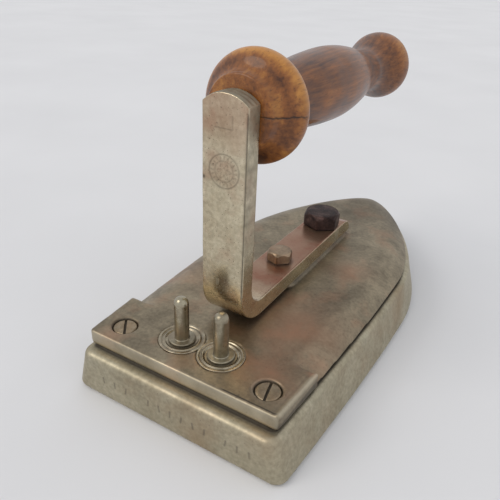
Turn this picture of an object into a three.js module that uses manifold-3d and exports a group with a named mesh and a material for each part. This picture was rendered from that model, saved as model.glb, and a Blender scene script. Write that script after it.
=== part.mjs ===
// Antique electric flat iron, tailor's size, with a turned wooden grip.
// Lengths are millimetres, +Z is up. Inside the iron group Y runs from the
// heel line (0) towards the toe; the last lines centre the iron on its sole.
import * as THREE from "three";
import Module from "manifold-3d";
import { mergeVertices } from "three/addons/utils/BufferGeometryUtils.js";

const wasm = await Module();
wasm.setup();

// ---- driving dimensions -------------------------------------------------
const clearance = 0.3; // between neighbouring pieces

// plan of the seam between cover and sole
const heelHalfWidth = 43.9;
const widestHalfWidth = 49.1;
const widestAt = 122;
const seamLength = 218.3;
const noseReach = 43.4; // how far the sides run on before they turn in
const noseBlunt = 12.7; // half width of the rounded toe

// sole
const soleTop = 21.2;
const soleFlare = 6.35; // how far the bottom spreads past the seam
const soleHeel = -1.95; // the sole's heel face stands behind the heel line
const ledgeTop = 20.5; // outer ledge, where the seam opens into a groove
const pocketFloor = 11;
const pocketInset = 9.5;
const pocketHeel = 33.5;
const bossRadius = 9;
const bossTop = 16.4;

// cover
const coverBottom = 21.5;
const coverTop = 28.5;
const coverEdge = 22.8; // the cover's outer edge hangs over the groove
const coverHeel = 3.15;
const landFront = 31.5; // the square land at the heel ends here
const shoulderWidth = 14;
const toeShoulder = 20;
const seatTop = 30.2; // raised seat under the bracket's foot
const seatHalfWidth = 9;
const seatFront = 149.5;

// appliance inlet
const pinSpacing = 19;
const pinRadius = 3;
const pinAt = 19.9;
const pinTop = 48.6;
const collarRadius = 5.5;

// fastenings
const screwX = 34.5;
const screwAt = 13.5;
const smallBoltAt = 84;
const smallBoltFlats = 11;
const largeBoltAt = 132;
const largeBoltFlats = 17.5;

// bracket
const strapWidth = 19.1;
const strapThickness = 8;
const strapRear = 34.2;
const strapTop = 126.3;
const strapShoulder = 122.3;
const footBottom = 30.5;
const footEnd = 151;
const bendRadius = 16.5;

// handle
const axisHeight = 117.5;
const handleDroop = THREE.MathUtils.degToRad(0.93);
const rodRadius = 5;
const boreRadius = 5.4;
const gripStart = 42.6;
const counterboreAt = 182.4;
const counterboreRadius = 9.4;

// ---- materials ----------------------------------------------------------
const finish = (color, roughness, metalness) =>
  new THREE.MeshStandardMaterial({ color, roughness, metalness });
const nickel = () => finish(0x8f8a78, 0.38, 1);
const brightNickel = () => finish(0xb0a992, 0.3, 1);
const darkSteel = () => finish(0x3a2628, 0.6, 0.8);
const brass = () => finish(0xa88a4a, 0.4, 1);
const castIron = () => finish(0x55524c, 0.7, 0.8);
const mica = () => finish(0xb9ac8c, 0.35, 0);
const board = () => finish(0xbdb8aa, 0.95, 0);
const ribbonMetal = () => finish(0x8a8682, 0.45, 1);
const porcelain = () => finish(0x8a8470, 0.3, 0.2);
const varnishedWood = () => finish(0x8a4f22, 0.3, 0);

// ---- closed solids ------------------------------------------------------
function toSolid(geometry) {
  const plain = geometry.clone();
  plain.deleteAttribute("normal");
  plain.deleteAttribute("uv");
  const merged = mergeVertices(plain, 1e-4);
  const points = merged.attributes.position.array;
  const index = merged.index.array;
  const kept = [];
  let volume = 0;
  for (let i = 0; i < index.length; i += 3) {
    const [a, b, c] = [index[i], index[i + 1], index[i + 2]];
    if (a === b || b === c || c === a) continue;
    kept.push(a, b, c);
    const p = new THREE.Vector3().fromArray(points, 3 * a);
    const q = new THREE.Vector3().fromArray(points, 3 * b);
    const r = new THREE.Vector3().fromArray(points, 3 * c);
    volume += p.dot(q.cross(r));
  }
  if (volume < 0) kept.reverse();
  return new wasm.Manifold(
    new wasm.Mesh({
      numProp: 3,
      vertProperties: new Float32Array(points),
      triVerts: new Uint32Array(kept),
    }),
  );
}

function toGeometry(solid) {
  const mesh = solid.getMesh();
  const geometry = new THREE.BufferGeometry();
  geometry.setAttribute("position", new THREE.BufferAttribute(mesh.vertProperties, 3));
  geometry.setIndex(new THREE.BufferAttribute(mesh.triVerts, 1));
  geometry.computeVertexNormals();
  return geometry;
}

function union(solids) {
  return solids.reduce((sum, solid) => sum.add(solid));
}

function block(x0, x1, y0, y1, z0, z1) {
  const geometry = new THREE.BoxGeometry(x1 - x0, y1 - y0, z1 - z0);
  geometry.translate((x0 + x1) / 2, (y0 + y1) / 2, (z0 + z1) / 2);
  return toSolid(geometry);
}

// a closed profile of [radius, height] pairs turned about a vertical axis
function turned(profile, x, y, steps = 24) {
  const points = profile.map(([r, z]) => new THREE.Vector2(r, z));
  const geometry = new THREE.LatheGeometry(points, steps);
  geometry.rotateX(Math.PI / 2);
  geometry.translate(x, y, 0);
  return toSolid(geometry);
}

function rod(radius, x, y, z0, z1, steps = 24) {
  return turned([[0, z0], [radius, z0], [radius, z1], [0, z1]], x, y, steps);
}

function washer(inner, outer, x, y, z0, z1) {
  return turned([[inner, z0], [outer, z0], [outer, z1], [inner, z1], [inner, z0]], x, y, 20);
}

// hexagonal prism; facing is the direction one flat looks, in degrees
function hexPrism(flats, x, y, z0, z1, facing) {
  const shape = new THREE.Shape();
  for (let i = 0; i < 6; i += 1) {
    const angle = THREE.MathUtils.degToRad(facing + 30 + 60 * i);
    const reach = flats / Math.sqrt(3);
    const point = [reach * Math.cos(angle), reach * Math.sin(angle)];
    if (i === 0) shape.moveTo(...point);
    else shape.lineTo(...point);
  }
  const geometry = new THREE.ExtrudeGeometry(shape, { depth: z1 - z0, bevelEnabled: false });
  geometry.translate(x, y, z0);
  return toSolid(geometry);
}

// ---- outlines of the pointed plan ---------------------------------------
function cubic(a, b, c, d, t) {
  const s = 1 - t;
  return s * s * s * a + 3 * s * s * t * b + 3 * s * t * t * c + t * t * t * d;
}

// One closed outline at height z. side and toe move it out from the seam,
// heelAt is where its straight heel edge lies and corner rounds the heel.
function outline({ side, toe = side, heelAt, corner, z, blunt }) {
  const heel = heelHalfWidth + side;
  const widest = widestHalfWidth + side;
  const length = seamLength + toe;
  const tip = blunt ?? noseBlunt + 1.06 * side;
  const reach = (noseReach * (length - widestAt)) / (seamLength - widestAt);
  const flank = (t) => [
    cubic(heel, heel + (widest - heel) * 0.6, widest, widest, t),
    cubic(0, widestAt * 0.35, widestAt * 0.65, widestAt, t),
  ];
  const nose = (t) => [
    cubic(widest, widest, tip, 0, t),
    cubic(widestAt, widestAt + reach, length, length, t),
  ];
  let start = 0;
  while (flank(start)[1] < heelAt + corner) start += 0.0005;
  const half = [];
  const cornerX = flank(start)[0] - corner;
  for (let i = 0; i < 5; i += 1) {
    const angle = (-Math.PI / 2) * (1 - i / 4);
    half.push([cornerX + corner * Math.cos(angle), heelAt + corner * (1 + Math.sin(angle))]);
  }
  for (let i = 1; i <= 6; i += 1) half.push(flank(start + ((1 - start) * i) / 6));
  for (let i = 1; i <= 9; i += 1) half.push(nose(i / 9));
  const mirrored = half.slice(0, -1).reverse();
  const all = [...half, ...mirrored.map(([x, y]) => [-x, y])];
  return all.map(([x, y]) => new THREE.Vector3(x, y, z));
}

// skin stretched over a stack of outlines, closed top and bottom
function loft(rings) {
  const count = rings[0].length;
  const index = [];
  const flat = (ring) => ring.map((p) => new THREE.Vector2(p.x, p.y));
  for (const [a, b, c] of THREE.ShapeUtils.triangulateShape(flat(rings[0]), [])) {
    index.push(a, c, b);
  }
  for (let k = 0; k + 1 < rings.length; k += 1) {
    for (let i = 0; i < count; i += 1) {
      const j = (i + 1) % count;
      const [a, b] = [k * count + i, k * count + j];
      index.push(a, b, b + count, a, b + count, a + count);
    }
  }
  const last = (rings.length - 1) * count;
  for (const [a, b, c] of THREE.ShapeUtils.triangulateShape(flat(rings.at(-1)), [])) {
    index.push(last + a, last + b, last + c);
  }
  const geometry = new THREE.BufferGeometry();
  geometry.setFromPoints(rings.flat());
  geometry.setIndex(index);
  return toSolid(geometry);
}

// upright slab with the pointed plan
function slab(plan, z0, z1) {
  return loft([outline({ ...plan, z: z0 }), outline({ ...plan, z: z1 })]);
}

// ---- sole ---------------------------------------------------------------
function solePlate() {
  const body = loft([
    outline({ side: soleFlare - 2.6, heelAt: soleHeel + 2.6, corner: 2.9, z: 0 }),
    outline({ side: soleFlare - 0.8, heelAt: soleHeel + 0.8, corner: 4.7, z: 0.8 }),
    outline({ side: soleFlare, heelAt: soleHeel, corner: 5.5, z: 2.8 }),
    outline({ side: 2.45, heelAt: -1.75, corner: 5, z: 17.8 }),
    outline({ side: 1.7, heelAt: -1, corner: 4.6, z: 19.7 }),
    outline({ side: 0.2, heelAt: 0.9, corner: 3.4, z: ledgeTop }),
    outline({ side: -2.6, heelAt: 3.9, corner: 2, z: ledgeTop + 0.05 }),
    outline({ side: -3.2, heelAt: 4.6, corner: 2, z: soleTop }),
  ]);
  // pocket for the heating element, and the chamber under the inlet pins
  const plan = { side: -pocketInset, toe: -26, blunt: 5, heelAt: pocketHeel, corner: 2 };
  const pocket = slab(plan, pocketFloor, soleTop + 1);
  const chamber = block(-24, 24, 8, pocketHeel + 3, pocketFloor, soleTop + 1);
  const boss = rod(bossRadius, 0, largeBoltAt, pocketFloor - 1, bossTop);
  const boltHole = rod(5.3, 0, largeBoltAt, 5.5, bossTop + 1);
  const screwHoles = [-screwX, screwX].map((x) => rod(2.8, x, screwAt, 8, soleTop + 1, 16));
  const hollowed = body.subtract(pocket).subtract(chamber).add(boss);
  return [boltHole, ...screwHoles].reduce((solid, hole) => solid.subtract(hole), hollowed);
}

// ---- heating element, from the bottom up --------------------------------
const sheetPlan = { side: -10.2, toe: -27, blunt: 4.4, corner: 2 };

function sheet(z0, z1, heelAt) {
  const hole = rod(bossRadius + 0.6, 0, largeBoltAt, z0 - 1, z1 + 1);
  return slab({ ...sheetPlan, heelAt }, z0, z1).subtract(hole);
}

// flat ribbon that runs up one side in a zigzag and back down the other
function resistanceRibbon() {
  const [z0, z1] = [13.3, 13.8];
  const width = 2.4;
  const pitch = 12;
  const rungs = 10;
  const firstRung = 42;
  const strips = [];
  const strip = (x0, x1, y0, y1) => {
    const [left, right] = [Math.min(x0, x1), Math.max(x0, x1)];
    const half = width / 2;
    strips.push(block(left - half, right + half, y0 - half, y1 + half, z0, z1));
  };
  for (const side of [-1, 1]) {
    strip(side * pinSpacing / 2, side * pinSpacing / 2, 38.3 + width / 2, firstRung);
    for (let i = 0; i < rungs; i += 1) {
      const y = firstRung + pitch * i;
      const inner = i === 0 ? pinSpacing / 2 : 14;
      const turnX = i % 2 === 0 ? 30 : 14;
      strip(side * inner, side * 30, y, y);
      strip(side * turnX, side * turnX, y, y + pitch);
    }
  }
  const lastRung = firstRung + pitch * rungs;
  strip(-14, 14, lastRung, lastRung);
  return union(strips);
}

function pressurePlate() {
  const plate = slab({ ...sheetPlan, heelAt: 36.5 }, 16.7, 20.9);
  const large = rod(5.4, 0, largeBoltAt, 16, 22);
  const small = rod(3.4, 0, smallBoltAt, 16, 22, 16);
  return plate.subtract(large).subtract(small);
}

// ---- cover --------------------------------------------------------------
function coverPlate() {
  const domed = { heelAt: 8, corner: 1 };
  const rings = [
    outline({ ...domed, side: -3.2, z: coverBottom }),
    outline({ ...domed, side: -2.7, z: coverEdge - 0.3 }),
    outline({ ...domed, side: -0.3, z: coverEdge - 0.1 }),
    outline({ ...domed, side: 0, z: coverEdge + 0.2 }),
  ];
  const shoulders = 5;
  for (let k = 1; k <= shoulders; k += 1) {
    const u = k / shoulders;
    const rise = (coverTop - coverEdge - 0.2) * (1 - (1 - u) ** 2);
    rings.push(outline({
      ...domed,
      side: -shoulderWidth * u,
      toe: -toeShoulder * u,
      blunt: noseBlunt - 4.5 * u,
      z: coverEdge + 0.2 + rise,
    }));
  }
  const dome = loft(rings);
  // square land across the heel, a little wider than the dome
  const edge = [[3.2, coverBottom], [2.7, coverEdge - 0.3], [0, coverEdge], [-0.4, coverEdge + 0.6],
    [-0.4, 27.9], [-0.2, 28.3], [0.4, coverTop]];
  const tall = loft(edge.map(([inset, z]) =>
    outline({ side: -inset, heelAt: coverHeel + 0.4 + inset, corner: 1.8, z })));
  const land = tall.intersect(block(-60, 60, 0, landFront, 20, 40));
  // seat for the bracket's foot, rounded at its heel end
  const bar = block(-seatHalfWidth, seatHalfWidth, smallBoltAt, seatFront, 27, seatTop);
  const seat = bar.add(rod(seatHalfWidth, 0, smallBoltAt, 27, seatTop));
  // underside hollows
  const hollow = slab({ side: -8, toe: -24, blunt: 5, heelAt: 38, corner: 2 }, 20, 24.6);
  const chamber = block(-22, 22, 10, 40, 20, 24);
  let cover = dome.add(land).add(seat).subtract(hollow).subtract(chamber);
  for (const side of [-1, 1]) {
    const pinX = (side * pinSpacing) / 2;
    cover = cover.subtract(rod(9.4, pinX, pinAt, 26.6, 31, 32));
    cover = cover.subtract(rod(4.5, pinX, pinAt, 20, 31, 20));
    cover = cover.subtract(rod(5.4, side * screwX, screwAt, 25.9, 31));
    cover = cover.subtract(rod(2.9, side * screwX, screwAt, 20, 31, 16));
  }
  cover = cover.subtract(rod(5.4, 0, largeBoltAt, 20, 40));
  return cover.subtract(rod(3.4, 0, smallBoltAt, 20, 40, 16));
}

// ---- appliance inlet ----------------------------------------------------
function terminalPin(x) {
  return turned([
    [0, 17.5], [2.2, 17.5], [2.2, 28.3], [5.2, 28.3], [collarRadius, 28.5],
    [collarRadius, 29], [5.1, 29.2], [pinRadius, 29.2], [pinRadius, pinTop - 2.4],
    [2.6, pinTop - 1.1], [1.5, pinTop - 0.2], [0, pinTop],
  ], x, pinAt);
}

// pressed washer: raised rim, groove, inner ridge and a dish under the collar
function dishedWasher(x) {
  return turned([
    [2.6, 27.6], [9, 27.6], [9.1, 28.3], [8.8, 28.6], [8.4, 28.25], [8.1, 28.1],
    [7.7, 28.35], [7.3, 28.55], [6.9, 28.3], [6.3, 28], [2.6, 27.95], [2.6, 27.6],
  ], x, pinAt, 24);
}

// thin flange under the washer and a sleeve that lines the cover's bore
function insulatingBush(x) {
  return turned([
    [2.6, 24.3], [4.2, 24.3], [4.2, 26.9], [8.9, 26.9], [8.9, 27.3], [2.6, 27.3],
    [2.6, 24.3],
  ], x, pinAt, 24);
}

// eyelet round the pin, step down to the element, end on the core
function connectingStrip(x) {
  const half = 2;
  const eyelet = rod(4.6, x, pinAt, 21.9, 22.4, 20);
  const top = block(x - half, x + half, pinAt, 33.4, 21.9, 22.4);
  const drop = block(x - half, x + half, 32.9, 33.4, 13.3, 22.4);
  const foot = block(x - half, x + half, 32.9, 38, 13.3, 13.8);
  return union([eyelet, top, drop, foot]).subtract(rod(2.5, x, pinAt, 21, 23, 16));
}

function terminalNut(x) {
  return hexPrism(8, x, pinAt, 18.9, 21.6, 0).subtract(rod(2.5, x, pinAt, 18, 23, 16));
}

// ---- fastenings ---------------------------------------------------------
// slotted cheese-head screw; slotTurn is the slot's direction in degrees
function coverScrew(x, slotTurn) {
  const body = turned([
    [0, 9], [2.5, 9], [2.5, 26.2], [5, 26.2], [5, 27.5], [4.6, 27.9], [0, 28.1],
  ], x, screwAt);
  const slot = new THREE.BoxGeometry(12, 1.3, 2);
  slot.rotateZ(THREE.MathUtils.degToRad(slotTurn));
  slot.translate(x, screwAt, 27.9);
  return body.subtract(toSolid(slot));
}

function hexBolt(flats, y, head, height, shank, tip, facing) {
  const corner = flats / Math.sqrt(3);
  const prism = hexPrism(flats, 0, y, head, head + height, facing);
  const chamfer = turned([
    [0, head - 1], [corner + 1, head - 1], [corner + 1, head + height * 0.62],
    [flats / 2 - 0.4, head + height], [0, head + height],
  ], 0, y, 24);
  return prism.intersect(chamfer).add(rod(shank, 0, y, tip, head + 1, 20));
}

// ---- bracket ------------------------------------------------------------
const strapFront = strapRear + strapThickness;
const footTop = footBottom + strapThickness;

function handleBracket() {
  const innerBend = bendRadius - strapThickness;
  const bendY = strapRear + bendRadius;
  const bendZ = footBottom + bendRadius;
  const side = new THREE.Shape();
  side.moveTo(strapRear, strapTop + 2);
  side.lineTo(strapRear, bendZ);
  side.absarc(bendY, bendZ, bendRadius, Math.PI, 1.5 * Math.PI, false);
  side.lineTo(footEnd, footBottom);
  side.lineTo(footEnd, footBottom + 3.2);
  side.lineTo(footEnd - 3.5, footTop - 1.2);
  side.lineTo(footEnd - 8, footTop);
  side.lineTo(bendY, footTop);
  side.absarc(bendY, bendZ, innerBend, 1.5 * Math.PI, Math.PI, true);
  side.lineTo(strapFront, strapTop + 2);
  const geometry = new THREE.ExtrudeGeometry(side, {
    depth: strapWidth, bevelEnabled: false, curveSegments: 8,
  });
  // the shape's X becomes Y and its Y becomes Z
  geometry.applyMatrix4(new THREE.Matrix4().makeBasis(
    new THREE.Vector3(0, 1, 0), new THREE.Vector3(0, 0, 1), new THREE.Vector3(1, 0, 0)));
  geometry.translate(-strapWidth / 2, 0, 0);
  // arched top
  const half = strapWidth / 2;
  const rise = strapTop - strapShoulder;
  const archRadius = (half * half + rise * rise) / (2 * rise);
  const spread = Math.asin(half / archRadius);
  const face = new THREE.Shape();
  face.moveTo(-half - 1, 0);
  face.lineTo(half + 1, 0);
  face.lineTo(half + 1, strapShoulder - 1);
  face.lineTo(half, strapShoulder);
  face.absarc(0, strapTop - archRadius, archRadius, Math.PI / 2 - spread,
    Math.PI / 2 + spread, false);
  face.lineTo(-half - 1, strapShoulder - 1);
  const arch = new THREE.ExtrudeGeometry(face, {
    depth: 200, bevelEnabled: false, curveSegments: 12,
  });
  arch.rotateX(Math.PI / 2);
  arch.translate(0, 200, 0);
  const tangHole = block(-4.4, 4.4, strapRear - 1, strapFront + 1, 114, 119.6);
  return toSolid(geometry).intersect(toSolid(arch))
    .subtract(tangHole)
    .subtract(rod(5.4, 0, largeBoltAt, 25, 45))
    .subtract(rod(3.4, 0, smallBoltAt, 25, 45, 16));
}

// ---- handle -------------------------------------------------------------
// turns a [radius, distance] profile about the drooping axis of the grip
function onAxis(profile, steps) {
  const points = profile.map(([r, y]) => new THREE.Vector2(r, y - strapFront));
  const geometry = new THREE.LatheGeometry(points, steps);
  return toSolid(placeOnAxis(geometry));
}

function placeOnAxis(geometry) {
  geometry.rotateX(-handleDroop);
  geometry.translate(0, strapFront, axisHeight);
  return geometry;
}

// round rod with a flat tang that fills the hole in the strap
function handleRod() {
  const round = onAxis([
    [0, 42.5], [rodRadius, 42.5], [rodRadius, 181.8], [3.9, 182.3], [3.9, 193.4],
    [3.4, 194], [0, 194],
  ], 20);
  const tang = block(-4.1, 4.1, strapRear + 0.1, 43.5, 114.3, 119.3);
  return round.add(tang);
}

function handleGrip() {
  const silhouette = [
    [boreRadius, gripStart], [13.3, gripStart], [14, 43.4], [14.5, 45.4], [14.9, 46.5],
    [16.4, 47.9], [19.2, 50], [20.9, 52.4], [21.4, 55.1], [20.7, 57.8], [18.4, 60.2],
    [15.4, 62.3], [13.2, 64.4], [12.3, 67.5], [12.9, 75], [14.2, 85], [15.4, 97],
    [16.1, 109], [16.2, 119], [15.4, 130], [13.6, 142], [11.7, 152], [10.5, 160],
    [10.3, 166], [11.6, 172], [14.1, 178], [16.3, 183], [17.3, 187.5], [16.9, 191],
    [15, 194], [12, 196], [counterboreRadius, 196.4], [counterboreRadius, counterboreAt],
    [boreRadius, counterboreAt], [boreRadius, gripStart],
  ];
  return onAxis(silhouette, 32);
}

function rodWasher() {
  return onAxis([[4.4, 182.7], [8.6, 182.7], [8.6, 184.3], [4.4, 184.3], [4.4, 182.7]], 24);
}

function rodNut() {
  const shape = hexPrism(12, 0, 0, 0, 6, 0).subtract(rod(4.2, 0, 0, -1, 7, 16));
  const geometry = toGeometry(shape);
  geometry.rotateX(-Math.PI / 2);
  geometry.translate(0, 185.3 - strapFront, 0);
  return toSolid(placeOnAxis(geometry));
}

// ---- assembly -----------------------------------------------------------
const iron = new THREE.Group();

function piece(name, solid, material) {
  const mesh = new THREE.Mesh(toGeometry(solid), material);
  mesh.name = name;
  iron.add(mesh);
}

piece("sole_plate", solePlate(), nickel());
piece("lower_mica_sheet", sheet(11.3, 11.9, 34.2), mica());
piece("heater_core", sheet(12.2, 13, 34.2), mica());
piece("resistance_ribbon", resistanceRibbon(), ribbonMetal());
piece("upper_mica_sheet", sheet(14.1, 14.6, 36.5), mica());
piece("insulating_board", sheet(14.9, 16.4, 36.5), board());
piece("pressure_plate", pressurePlate(), castIron());
piece("cover_plate", coverPlate(), nickel());
for (const [label, side] of [["left", -1], ["right", 1]]) {
  const x = (side * pinSpacing) / 2;
  piece(`terminal_pin_${label}`, terminalPin(x), brightNickel());
  piece(`dished_washer_${label}`, dishedWasher(x), brightNickel());
  piece(`insulating_bush_${label}`, insulatingBush(x), porcelain());
  piece(`lower_washer_${label}`, washer(2.6, 7, x, pinAt, 22.7, 23.7), mica());
  piece(`connecting_strip_${label}`, connectingStrip(x), brass());
  piece(`terminal_nut_${label}`, terminalNut(x), brass());
  piece(`cover_screw_${label}`, coverScrew(side * screwX, side < 0 ? -52 : -77), brightNickel());
}
piece("handle_bracket", handleBracket(), brightNickel());
const head = footTop + clearance;
piece("bracket_bolt_small", hexBolt(smallBoltFlats, smallBoltAt, head, 5.4, 3, 17.3, -46), brass());
piece("clamp_bolt_large", hexBolt(largeBoltFlats, largeBoltAt, head, 8, 5, 6, -51), darkSteel());
piece("handle_rod", handleRod(), brightNickel());
piece("handle_grip", handleGrip(), varnishedWood());
piece("rod_end_washer", rodWasher(), nickel());
piece("rod_end_nut", rodNut(), nickel());

iron.position.y = -(seamLength + soleFlare + soleHeel) / 2;
const group = new THREE.Group();
group.add(iron);

export default group;
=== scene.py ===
import math
import bpy
import numpy as np
from mathutils import Matrix, Vector


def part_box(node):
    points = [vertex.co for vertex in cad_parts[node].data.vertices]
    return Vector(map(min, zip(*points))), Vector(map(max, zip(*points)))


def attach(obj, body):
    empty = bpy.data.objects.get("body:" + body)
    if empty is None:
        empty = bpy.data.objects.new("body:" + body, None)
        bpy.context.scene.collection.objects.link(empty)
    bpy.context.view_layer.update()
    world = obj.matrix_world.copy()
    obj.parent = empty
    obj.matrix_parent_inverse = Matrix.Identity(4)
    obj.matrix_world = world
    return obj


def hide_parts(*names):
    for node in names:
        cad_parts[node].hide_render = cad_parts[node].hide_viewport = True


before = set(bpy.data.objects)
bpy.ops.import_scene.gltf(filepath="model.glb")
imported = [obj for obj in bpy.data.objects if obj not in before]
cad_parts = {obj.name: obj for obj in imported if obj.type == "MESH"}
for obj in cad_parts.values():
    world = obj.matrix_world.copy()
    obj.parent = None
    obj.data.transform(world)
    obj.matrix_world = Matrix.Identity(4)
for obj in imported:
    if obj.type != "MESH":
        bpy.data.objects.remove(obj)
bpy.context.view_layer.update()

# Antique electric flat iron with a turned wooden grip.
# Shapes are worked out in millimetres from the middle of the heel line that the sole's
# and the cover's plans start on, then put where the CAD sole lies.

heelBulge = 1.95  # mm that the sole's wall stands out behind the heel line
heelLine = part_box("sole_plate")[0][1] + heelBulge * 0.001
print("frame loaded, heel line at", round(heelLine * 1000, 1), "mm")


# small helpers

def toModel(points):
    # millimetres from the heel line to metres in the frame
    return np.asarray(points, float) * 0.001 + np.array([0, heelLine, 0])


def fromModel(points):
    return (np.asarray(points, float) - np.array([0, heelLine, 0])) * 1000


def linear(hexColour, alpha=1.0):
    # sRGB hex to the linear values that the nodes want
    parts = [int(hexColour[i:i + 2], 16) / 255 for i in (0, 2, 4)]
    return [p / 12.92 if p <= 0.04045 else ((p + 0.055) / 1.055) ** 2.4 for p in parts] + [alpha]


def perMm(size):
    # noise scale that makes one blob about size millimetres across
    return 1000.0 / size


def waviness(points, size, seed):
    # soft three way noise between -1 and 1, the same every run
    q = np.asarray(points) / size + seed * 17.31
    cell = np.floor(q).astype(np.int64)
    f = q - cell
    f = f * f * (3 - 2 * f)
    total = np.zeros(len(q))
    for corner in range(8):
        step = np.array([corner & 1, corner >> 1 & 1, corner >> 2 & 1])
        c = cell + step
        h = (c[:, 0] * 73856093 ^ c[:, 1] * 19349663 ^ c[:, 2] * 83492791) & 0xFFFFFF
        h = (h * 2654435761 >> 7) & 0xFFFF
        total += np.prod(np.where(step, f, 1 - f), axis=1) * (h / 32767.5 - 1)
    return total


def ease(low, high, value):
    # 0 below low, 1 above high, smooth between
    t = np.clip((value - low) / (high - low), 0, 1)
    return t * t * (3 - 2 * t)


def ridge(distance, width):
    # 1 on a line, fading to 0 a width away
    return np.exp(-((distance / width) ** 2))


def makeMesh(name, points, faces, sharpAngle=35):
    mesh = bpy.data.meshes.new(name)
    mesh.from_pydata([tuple(p) for p in toModel(points)], [], faces)
    mesh.validate()
    piece = bpy.data.objects.new(name, mesh)
    bpy.context.scene.collection.objects.link(piece)
    shade(piece, sharpAngle)
    return piece


def shade(piece, sharpAngle):
    piece.data.shade_smooth()
    if sharpAngle < 180:
        piece.data.set_sharp_from_angle(angle=math.radians(sharpAngle))


def bake(piece):
    # applies the modifiers, so that none is left on the piece
    evaluated = piece.evaluated_get(bpy.context.evaluated_depsgraph_get())
    mesh = bpy.data.meshes.new_from_object(evaluated)
    piece.modifiers.clear()
    old = piece.data
    piece.data = mesh
    bpy.data.meshes.remove(old)


def combine(piece, others, operation):
    for other in others:
        change = piece.modifiers.new("join", "BOOLEAN")
        change.operation = operation
        change.solver = "EXACT"
        change.object = other
        bake(piece)
        bpy.data.objects.remove(other)
    return piece


def resurface(piece, voxel, smoothing):
    # even fine skin with edges worn round, as on an old polished casting
    change = piece.modifiers.new("skin", "REMESH")
    change.mode = "VOXEL"
    change.voxel_size = voxel * 0.001
    soft = piece.modifiers.new("wear", "SMOOTH")
    soft.factor = 0.5
    soft.iterations = smoothing
    bake(piece)
    shade(piece, 180)
    return piece


def softenEdges(piece, width, angle):
    # small rounded bevel on edges sharper than angle
    bevel = piece.modifiers.new("edge", "BEVEL")
    bevel.width = width * 0.001
    bevel.segments = 2
    bevel.limit_method = "ANGLE"
    bevel.angle_limit = math.radians(angle)
    bake(piece)


def readPoints(piece):
    flat = np.empty(len(piece.data.vertices) * 3)
    piece.data.vertices.foreach_get("co", flat)
    return fromModel(flat.reshape(-1, 3))


def readNormals(piece):
    flat = np.empty(len(piece.data.vertices) * 3)
    piece.data.vertices.foreach_get("normal", flat)
    return flat.reshape(-1, 3)


def writePoints(piece, points):
    piece.data.vertices.foreach_set("co", toModel(points).ravel())
    piece.data.update()


def paint(piece, name, values):
    # a number for each point, which the piece's material reads
    layer = piece.data.attributes.new(name, "FLOAT", "POINT")
    layer.data.foreach_set("value", np.clip(values, 0, 1).astype(np.float32))


def finish(piece, node, material):
    piece.data.materials.clear()
    piece.data.materials.append(material)
    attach(piece, "root")
    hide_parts(node)
    return piece


# making shapes

def stack(name, rings, sharpAngle=35):
    # skin over rings with equal point counts, closed at both ends
    count = len(rings[0])
    points = np.concatenate(rings)
    faces = [list(range(count))[::-1]]
    for k in range(len(rings) - 1):
        a = k * count
        for i in range(count):
            j = (i + 1) % count
            faces.append([a + i, a + j, a + count + j, a + count + i])
    last = (len(rings) - 1) * count
    faces.append([last + i for i in range(count)])
    return makeMesh(name, points, faces, sharpAngle)


def turn(name, profile, x=0.0, y=0.0, steps=96, sharpAngle=35, frameOf=None):
    # turns [radius, height] pairs about an upright axis, or about frameOf's Z
    rows, points = [], []
    for r, z in profile:
        if r < 1e-6:
            rows.append([len(points)])
            points.append((0, 0, z))
            continue
        rows.append(list(range(len(points), len(points) + steps)))
        for i in range(steps):
            angle = 2 * math.pi * i / steps
            points.append((r * math.cos(angle), r * math.sin(angle), z))
    faces = []
    for a, b in zip(rows, rows[1:]):
        for i in range(steps):
            j = (i + 1) % steps
            if len(a) == 1 and len(b) == 1:
                break
            if len(a) == 1:
                faces.append([a[0], b[j], b[i]])
            elif len(b) == 1:
                faces.append([a[i], a[j], b[0]])
            else:
                faces.append([a[i], a[j], b[j], b[i]])
    if len(rows[0]) > 1 and profile[0] == profile[-1]:
        # a closed profile: weld its last row to its first
        first = len(points) - steps
        faces = [[p - first if p >= first else p for p in face] for face in faces]
        points = points[:first]
    points = np.array(points, float)
    if frameOf is not None:
        points = np.array([frameOf @ Vector(p) for p in points])
    else:
        points += np.array([x, y, 0])
    return makeMesh(name, points, faces, sharpAngle)


def roundedPath(corners, radii, steps=5):
    # polyline with its corners rounded, for profiles
    path = [corners[0]]
    for before, here, after, radius in zip(corners, corners[1:], corners[2:], radii):
        here = Vector(here)
        back, on = Vector(before) - here, Vector(after) - here
        reach = min(radius, back.length * 0.45, on.length * 0.45)
        if reach < 1e-4:
            path.append(tuple(here))
            continue
        start, end = here + back.normalized() * reach, here + on.normalized() * reach
        for i in range(steps + 1):
            t = i / steps
            path.append(tuple(start * (1 - t) ** 2 + here * 2 * t * (1 - t) + end * t * t))
    path.append(corners[-1])
    return path


def throughPoints(knots, step):
    # smooth curve through [radius, distance] knots, about step apart
    knots = [np.array(k, float) for k in knots]
    padded = [2 * knots[0] - knots[1]] + knots + [2 * knots[-1] - knots[-2]]
    curve = []
    for a, b, c, d in zip(padded, padded[1:], padded[2:], padded[3:]):
        pieces = max(2, int(np.linalg.norm(c - b) / step))
        for i in range(pieces):
            t = i / pieces
            curve.append(0.5 * (2 * b + (c - a) * t + (2 * a - 5 * b + 4 * c - d) * t * t
                                + (3 * b - a - 3 * c + d) * t ** 3))
    return [tuple(p) for p in curve] + [tuple(knots[-1])]


def slabOf(name, outline, low, high, axis="Z"):
    # straight sided block of any outline, along Z, X or Y
    def place(p, h):
        return {"Z": (p[0], p[1], h), "X": (h, p[0], p[1]), "Y": (p[0], h, p[1])}[axis]
    rings = [np.array([place(p, h) for p in outline]) for h in (low, high)]
    piece = stack(name, rings)
    faceOut(piece)
    return piece


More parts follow.
